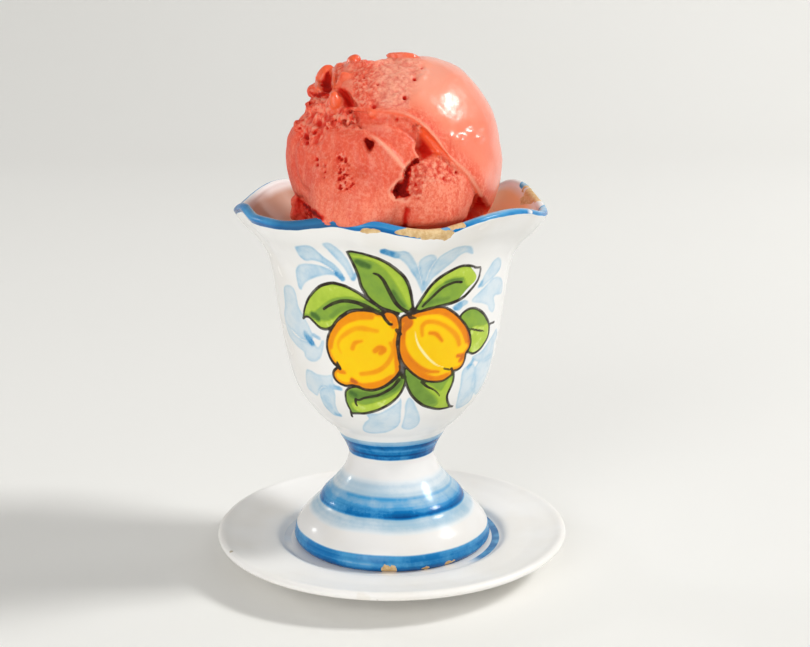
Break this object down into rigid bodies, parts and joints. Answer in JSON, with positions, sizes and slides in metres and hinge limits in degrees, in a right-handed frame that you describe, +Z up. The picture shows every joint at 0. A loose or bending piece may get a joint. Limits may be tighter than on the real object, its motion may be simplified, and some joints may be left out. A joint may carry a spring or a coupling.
{
  "type": "gelato cup",
  "caption": "Footed glazed earthenware cup with a ruffled rim on its saucer, filled with fruit gelato and topped with a big scoop.",
  "frame": {"origin": "middle of the saucer's foot ring, on the surface that the saucer stands on, on the cup's axis", "axes": "+Z up along the cup's axis, -Y towards the front, where the painted lemons are, +X to the front view's right"},
  "size_m": [0.125, 0.125, 0.1799],
  "materials": {
    "saucer_glaze": "gloss",
    "cup_glaze": "gloss",
    "gelato": "satin"
  },
  "bodies": {
    "root": {"saucer": "saucer_glaze", "cup": "cup_glaze", "gelato": "gelato"}
  },
  "joints": []
}
